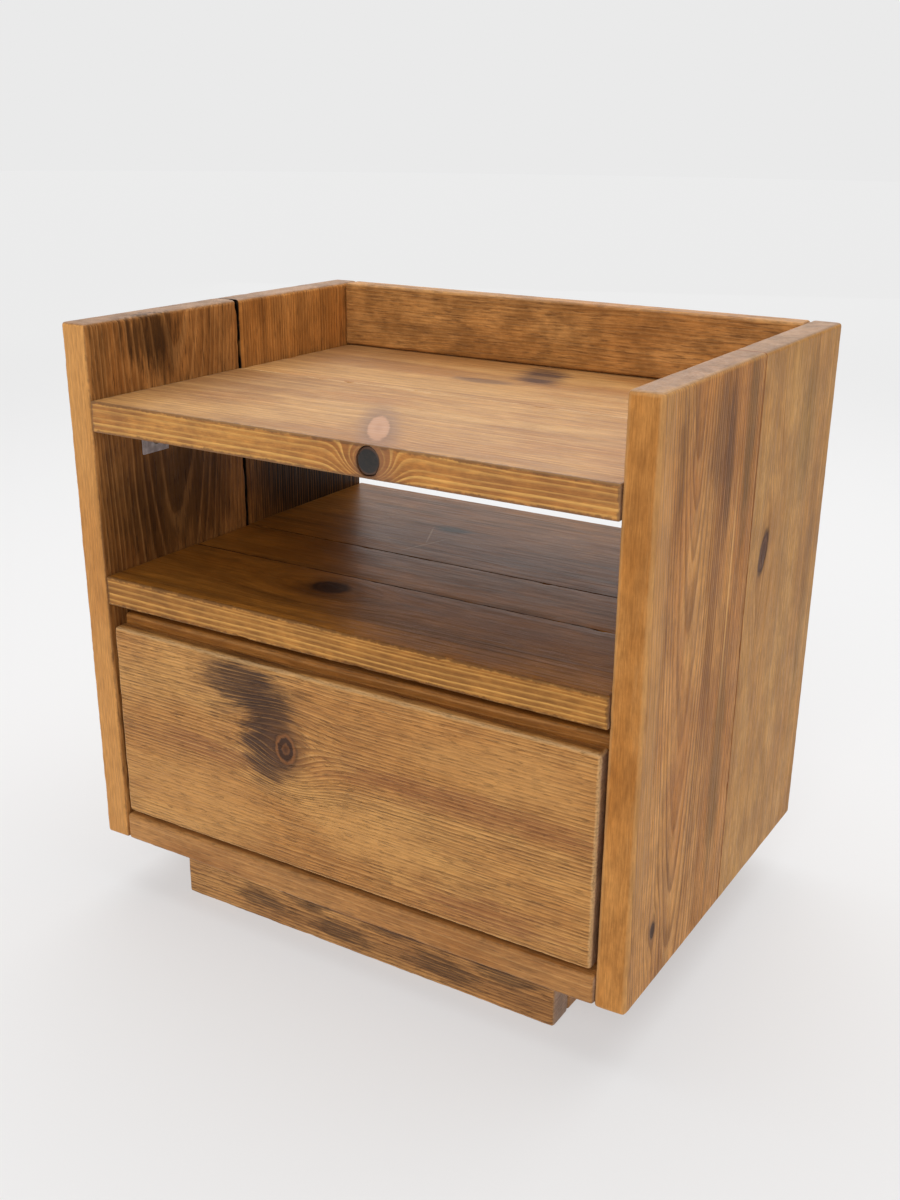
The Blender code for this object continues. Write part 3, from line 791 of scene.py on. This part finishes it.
def make_layers():
    """The tray top, the shelf under it and the bottom above the plinth."""
    bright = {
        "pale": colour(206, 142, 64), "warm": colour(182, 114, 44), "deep": colour(128, 76, 30),
        "line": colour(240, 184, 98), "contrast": 0.68, "band": 0.3, "glint": 0.0, "mottle": 0.62,
    }
    tray = {
        "pale": colour(204, 154, 92), "warm": colour(180, 124, 66), "deep": colour(136, 92, 52),
        "line": colour(146, 96, 54), "contrast": 0.34, "band": 0.45, "dash": 0.08, "relief": 0.2,
        "shine": 0.45, "mottle": 0.22, "glint": 0.22, "streak": 0.1, "waver": 0.002,
    }
    shelf = {
        "pale": colour(170, 110, 42), "warm": colour(146, 90, 30), "deep": colour(86, 52, 18),
        "line": colour(84, 50, 20), "contrast": 0.22, "dash": 0.1, "relief": 0.2, "shine": 0.15,
        "band": 0.6, "gloss": 0.34, "glint": 0.04, "waver": 0.002,
    }
    shelf_edge = {
        "pale": colour(190, 130, 62), "warm": colour(160, 102, 44), "deep": colour(112, 70, 32),
        "line": colour(232, 174, 92), "contrast": 0.7, "band": 0.45, "glint": 0.0, "mottle": 0.6,
    }
    flat = {"ring": 0.0028, "pith": (0.0, 0.02, -0.10)}
    # Painted shade: the left end of the tray top is darkened, where it reflects less light.
    tray_left_painted_shade = colour(112, 76, 48)
    # A pale oval on the tray top, drawn out along the depth and laid with the knot group.
    pale_oval = {
        "place": (0.0117, -0.1194, TRAY_FACE), "size": (0.0088, 0.033, THROUGH),
        "flow": (0.030, 0.050, THROUGH), "push": 0.3, "slant": (0.61, 0.0, 0.0), "rings": 3.0,
        "colour": colour(186, 136, 104), "light": colour(196, 146, 112), "core": 0.8, "rim": 0.1,
        "halo_colour": colour(120, 88, 74), "halo": 0.55,
    }
    branch = {
        "place": tuple(DEAD_KNOT), "size": (0.0088, 0.016, 0.0088), "flow": (0.020, 0.030, 0.013),
        "push": 0.5, "lift": 0.020, "colour": colour(96, 56, 30), "light": colour(120, 74, 40),
        "rim": 0.5, "halo_colour": colour(150, 92, 44), "halo": 0.35,
    }
    hole = [
        (0, SOCKET_START),
        (SOCKET_RADIUS, SOCKET_START),
        (SOCKET_RADIUS, SOCKET_DEPTH),
        (0, SOCKET_DEPTH),
    ]
    plank(
        "top_front_board", "x", 21, snug=("+y",), front=bright, arris=0.0009, wear=0.0002,
        cutter=turned(hole, DEAD_KNOT, **DEAD_KNOT_SHAPE), knots=[pale_oval, branch],
        # painted shade at the tray's left end
        patches=[patch((-0.19, -0.04, TRAY_FACE), (0.10, 0.12, THROUGH), tray_left_painted_shade, 0.38, ragged=0.4)],
        grime=0.6, grime_reach=0.0019, seam_colour=colour(255, 226, 170), seam_amount=1.0,
        seam_from=0.40, **{**tray, **flat},
    )
    plug = turned(plug_outline(DEAD_KNOT_RADIUS, DEAD_KNOT_DEPTH, 0.0011), DEAD_KNOT, **DEAD_KNOT_SHAPE)
    finish_piece("dead_knot", plug, bark("black knot"), "cabinet", [])
    blemish = colour(78, 56, 48)
    plank(
        "top_rear_board", "x", 22, snug=("-y",), seam_amount=0.0,
        patches=[
            # painted shade at the tray's left end
            patch((-0.19, 0.09, TRAY_FACE), (0.12, 0.08, THROUGH), tray_left_painted_shade, 0.38, ragged=0.4),
            patch((0.013, 0.102, TRAY_FACE), (0.026, 0.040, THROUGH), blemish, 0.95, slant=(0.3, 0.0, 0.0)),
            patch((-0.016, 0.060, TRAY_FACE), (0.034, 0.010, THROUGH), blemish, 0.8),
        ],
        **tray,
    )
    shelf_knot = {
        "place": (-0.051, -0.0915, SHELF_FACE), "size": (0.015, 0.011, THROUGH),
        "flow": (0.050, 0.028, THROUGH), "colour": colour(44, 24, 12), "light": colour(60, 34, 16),
        "halo_colour": colour(66, 38, 16),
    }
    plank(
        "shelf_front_board", "x", 23, snug=("+y",), front=shelf_edge, knots=[shelf_knot],
        arris=0.0014, wear=0.0003, grime=0.65, grime_reach=0.0019, **{**shelf, **flat},
    )
    scratched = colour(190, 150, 110)
    scratches = [
        patch((x, y, SHELF_FACE), (wide, long, THROUGH), scratched, 0.55, ragged=0.25, slant=(lean, 0.0, 0.0))
        for x, y, wide, long, lean in (
            (-0.0506, 0.030, 0.0012, 0.026, -0.35),
            (-0.0605, 0.056, 0.0010, 0.024, 0.45),
        )
    ]
    plank(
        "shelf_middle_board", "x", 24, snug=("-y", "+y"), seam_amount=1.0, patches=scratches[:1], **shelf
    )
    dent = patch((-0.052, 0.078, SHELF_FACE), (0.022, 0.010, THROUGH), colour(22, 13, 8), 0.9)
    plank(
        "shelf_rear_board", "x", 25, snug=("-y",), arris=0.0008, wear=0.0001,
        patches=[*scratches, dent], **shelf,
    )
    plank(
        "bottom_front_board", "x", 26, snug=("+y",), contrast=0.12, chips=0.004,
        pale=colour(200, 142, 80), warm=colour(176, 116, 58), deep=colour(124, 80, 42),
    )
    plank("bottom_rear_board", "x", 27, snug=("-y",))
    plank(
        "back_rail", "x", 28, pale=colour(220, 160, 92), warm=colour(200, 138, 72),
        deep=colour(116, 74, 34), line=colour(112, 66, 26), ring=0.0030, contrast=0.25, band=0.4,
        mottle=0.6, streak=0.1, dash=0.42, glint=0.08, pith=(0.0, 0.05, -0.14), waver=0.004,
    )
    plank("lower_back_board", "x", 29)


def make_plinth():
    lined = {"ring": 0.0026, "contrast": 0.8, "dash": 0.5, "band": 0.5, "relief": 0.8, "arris": 0.002}
    across = {"pith": (0.0, 0.02, -0.14), **lined}
    # Blotches on the plinth front: mottled stain, and those along its top edge also painted shadow under the
    # bottom board.
    dark = [
        patch((x, PLINTH_FRONT, z), (0.034, THROUGH, 0.011), colour(62, 39, 22), 0.68, ragged=1.3)
        for x, z in (
            (-0.085, 0.018), (-0.045, 0.032), (-0.015, 0.014), (0.035, 0.033), (0.075, 0.015), (0.125, 0.028),
        )
    ]
    golden = {"pale": colour(226, 168, 98), "warm": colour(200, 140, 76)}
    plank("plinth_front", "x", 31, patches=dark, **golden, **across)
    plank("plinth_back", "x", 32, **across)
    plank("plinth_left", "y", 33, **lined)
    plank("plinth_right", "y", 34, **lined)


def make_drawer():
    knot = {
        "place": (-0.0415, DRAWER_FACE, 0.167), "size": (0.0096, THROUGH, 0.0128),
        "flow": (0.034, THROUGH, 0.029), "push": 0.75, "lift": 0.009, "rings": 9.0,
        "colour": colour(66, 38, 20), "light": colour(142, 90, 48), "centre": colour(70, 38, 18),
        "halo_colour": colour(100, 64, 37), "halo": 0.6, "rim": 0.45,
    }
    clouds = [
        patch((x, DRAWER_FACE, z), (along, THROUGH, tall), tint, amount, ragged=ragged)
        for tint, amount, ragged, places in (
            (colour(232, 172, 100), 0.34, 0.5, (
                (-0.13, 0.105, 0.09, 0.040), (0.02, 0.118, 0.07, 0.022), (0.13, 0.195, 0.09, 0.022),
            )),
            (colour(138, 80, 44), 0.55, 0.8, (
                (0.10, 0.164, 0.14, 0.013), (-0.11, 0.150, 0.07, 0.012), (0.12, 0.088, 0.07, 0.014),
            )),
            (colour(68, 42, 26), 0.88, 0.9, ((-0.080, 0.208, 0.044, 0.030),)),
            (colour(68, 42, 26), 0.88, 0.8, ((-0.057, 0.190, 0.030, 0.036), (-0.061, 0.163, 0.024, 0.028))),
        )
        for x, z, along, tall in places
    ]
    plank(
        "drawer_front", "x", 41, body="drawer", slot="drawer_pine", arris=0.0035, knots=[knot],
        patches=clouds, pale=colour(216, 158, 88), warm=colour(196, 134, 68), deep=colour(132, 82, 40),
        line=colour(98, 58, 26), ring=0.0026, contrast=0.52, glint=0.30, mottle=0.34, band=0.2,
        streak=0.04, dash=0.3, relief=0.85, waver=0.0012, pith=(0.0, 0.05, -0.19),
        # painted highlight: the arris colour is raised here to stand for light along the top arris, over the
        # wear
        worn=colour(230, 186, 130), worn_amount=0.6, reach=0.0024,
    )
    plank(
        "drawer_box_front", "x", 42, body="drawer", slot="drawer_pine", arris=0.003, dash=0.1,
        pale=colour(190, 126, 58), warm=colour(172, 108, 44), deep=colour(116, 70, 28),
    )


# ---- pieces whose CAD shape is right ----


def ply(name, low, high):
    """Birch plywood: quiet rotary-cut faces, and its layers showing on the edges."""
    material, tree, shader, place = new_material(name)
    loops = cloud(tree, place, (40, 9, 40), detail=3.0, roughness=0.5, distortion=0.6)
    flecks = cloud(tree, place, (900, 130, 900), detail=2.0)
    face = blend(tree, ease(tree, loops, 0.35, 0.65), colour(218, 182, 126), colour(200, 158, 100))
    face = blend(tree, ease(tree, flecks, 0.62, 0.72, 0.0, 0.35), face, colour(150, 108, 66))
    step = calc(tree, "DIVIDE", calc(tree, "SUBTRACT", split(tree, place)[2], low.z), (high.z - low.z) / 3)
    layer = ease(tree, calc(tree, "ABSOLUTE", calc(tree, "SUBTRACT", step, 1.5)), 0.42, 0.58)
    edge = blend(tree, layer, colour(146, 104, 62), colour(206, 168, 118))
    upright = facing(tree, 2, 0)
    feed(tree, shader.inputs["Base Color"], blend(tree, upright, edge, face))
    feed(tree, shader.inputs["Roughness"], ease(tree, loops, 0.2, 0.8, 0.55, 0.68))
    with_bump(tree, shader, 0.25, 0.0003, flecks)
    return material


def metal(name, bright, tray_left_painted_shade, spangle, rough, metallic=1.0):
    """Plated or plain steel that has dulled in blotches, with fine drawing marks."""
    material, tree, shader, place = new_material(name)
    cells = vector_calc(tree, "MULTIPLY", place, (spangle, spangle, spangle))
    grains = add(tree, "ShaderNodeTexVoronoi", {"Vector": cells, "Scale": 1.0}).outputs["Color"]
    blotch = ease(tree, cloud(tree, place, (150, 150, 150), detail=4.0), 0.35, 0.65)
    tone = calc(tree, "MULTIPLY_ADD", split(tree, grains)[0], 0.4, calc(tree, "MULTIPLY", blotch, 0.6))
    marks = cloud(tree, place, (300, 300, 3000), detail=2.0)
    feed(tree, shader.inputs["Base Color"], blend(tree, tone, bright, tray_left_painted_shade))
    feed(tree, shader.inputs["Roughness"], ease(tree, tone, 0.0, 1.0, rough, rough + 0.18))
    with_bump(tree, shader, 0.15, 0.0002, marks)
    shader.inputs["Metallic"].default_value = metallic
    return material


RAW = {
    "pale": colour(226, 190, 138), "warm": colour(210, 168, 112), "deep": colour(180, 132, 82),
    "line": colour(172, 116, 66), "end": colour(204, 164, 116), "grime": 0.1, "worn_amount": 0.1, "dash": 0.1,
    "gloss": 0.6, "band": 0.3, "mottle": 0.25, "contrast": 0.45,
}
BEECH = {
    "pale": colour(216, 172, 126), "warm": colour(204, 156, 110), "deep": colour(176, 124, 82),
    "line": colour(170, 116, 76), "end": colour(190, 146, 104), "grime": 0.1, "worn_amount": 0.1,
    "dash": 0.45, "gloss": 0.5, "band": 0.1, "mottle": 0.15, "contrast": 0.2, "ring": 0.0016,
}
STAINED = {
    "pale": colour(206, 146, 78), "warm": colour(184, 122, 60), "deep": colour(126, 78, 36),
    "line": colour(118, 70, 30),
}


def make_carried_over_materials():
    """Finishes for pieces whose plain shape is already right: drawer box, blocks, dowels and hardware."""
    zinc = metal("dulled zinc", colour(226, 220, 222), colour(176, 168, 170), 260.0, 0.5, 0.55)
    steel = metal("screw steel", colour(196, 190, 176), colour(140, 130, 112), 900.0, 0.28)
    for seed, (node, thing) in enumerate(sorted(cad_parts.items()), 51):
        if thing.hide_render:
            continue
        low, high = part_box(node)
        size = high - low
        grain = AXES[max(range(3), key=lambda axis: size[axis])]
        edges = {"edge_low": tuple(low), "edge_high": tuple(high), "seams": []}
        if node.startswith("bracket"):
            material = zinc
        elif node.startswith("screw"):
            material = steel
        elif node == "drawer_bottom_panel":
            material = ply("birch ply", low, high)
        elif node.startswith("dowel"):
            material = pine(f"beech {node}", low, high, grain, seed, **edges, **BEECH)
        elif node.startswith("drawer_box"):
            material = pine(f"pine {node}", low, high, grain, seed, **edges, **STAINED)
        else:
            material = pine(f"raw pine {node}", low, high, grain, seed, **edges, **RAW)
        for holder in thing.material_slots:
            holder.material = material


# ---- camera, floor and light ----

CAMERA_PLACE = Vector((0.5001, -0.8245, 0.5827))
CAMERA_AZIMUTH = math.radians(30.81)
CAMERA_TILT = math.radians(21.11)
CAMERA_ROLL = math.radians(0.75)
SENSOR = 36.0
LENS = 40.37
LENS_SHIFT = (-0.0137, 0.0281)
FLOOR_RADIUS = 14.0
FLOOR_FADE = (0.9, 3.2)  # how far out the paper starts and ends turning into background


def make_camera():
    lens = bpy.data.cameras.new("camera")
    lens.sensor_fit = "VERTICAL"
    lens.sensor_height = SENSOR
    lens.lens = LENS
    lens.shift_x, lens.shift_y = LENS_SHIFT
    camera = add_object("camera", lens)
    turn = Matrix.Rotation(CAMERA_AZIMUTH, 4, "Z") @ Matrix.Rotation(math.pi / 2 - CAMERA_TILT, 4, "X")
    roll = Matrix.Rotation(CAMERA_ROLL, 4, "Z")
    camera.matrix_world = Matrix.Translation(CAMERA_PLACE) @ turn @ roll
    bpy.context.scene.camera = camera


def make_floor():
    """Pale studio paper that runs on into a bright background."""
    shape = bmesh.new()
    bmesh.ops.create_circle(shape, cap_ends=True, segments=96, radius=FLOOR_RADIUS)
    mesh = as_mesh("floor", shape)
    floor = add_object("floor", mesh)
    paint, tree, shader, place = new_material("studio paper")
    far = ease(tree, vector_calc(tree, "LENGTH", place), *FLOOR_FADE)
    feed(tree, shader.inputs["Base Color"], blend(tree, far, colour(170, 170, 170), (0, 0, 0, 1)))
    glow = blend(tree, far, colour(180, 180, 181), colour(234, 234, 234))
    feed(tree, shader.inputs["Emission Color"], glow)
    shader.inputs["Emission Strength"].default_value = 1.0
    shader.inputs["Roughness"].default_value = 0.9
    shader.inputs["Specular IOR Level"].default_value = 0.1
    mesh.materials.append(paint)


def make_light(name, place, target, size, power):
    lamp = bpy.data.lights.new(name, "AREA")
    lamp.shape = "DISK"
    lamp.size = size
    lamp.energy = power
    light = add_object(name, lamp)
    light.visible_camera = False
    turn = (Vector(target) - Vector(place)).to_track_quat("-Z", "Y").to_matrix().to_4x4()
    light.matrix_world = Matrix.Translation(Vector(place)) @ turn


def make_lights():
    """An overhead softbox, a bright sweep behind and a soft fill. The room lights less than it shows."""
    world = bpy.data.worlds.new("studio")
    world.use_nodes = True
    tree = world.node_tree
    backdrop = tree.nodes["Background"]
    backdrop.inputs["Color"].default_value = colour(234, 234, 234)
    room = add(tree, "ShaderNodeBackground", {"Color": colour(234, 232, 228), "Strength": 0.42})
    seen = add(tree, "ShaderNodeLightPath").outputs["Is Camera Ray"]
    mix = add(tree, "ShaderNodeMixShader", {0: seen, 1: room.outputs[0], 2: backdrop.outputs[0]})
    tree.links.new(mix.outputs[0], tree.nodes["World Output"].inputs["Surface"])
    bpy.context.scene.world = world
    make_light("overhead", (-0.2, 0.7, 2.5), (0, -0.1, 0), 4.0, 66)
    make_light("sweep", (-1.6, 3.4, 1.1), (0, 0, 0.4), 3.4, 20)
    make_light("fill", (0.9, -3.0, 1.9), (0, 0, 0.2), 2.4, 46)


for make_group in (make_knot_group, make_ring_group, make_fibre_group, make_patch_group, make_edge_group):
    make_group()
make_camera()
make_floor()
make_lights()
make_sides()
make_layers()
make_plinth()
make_drawer()
make_carried_over_materials()
bpy.context.scene.view_settings.view_transform = "Standard"
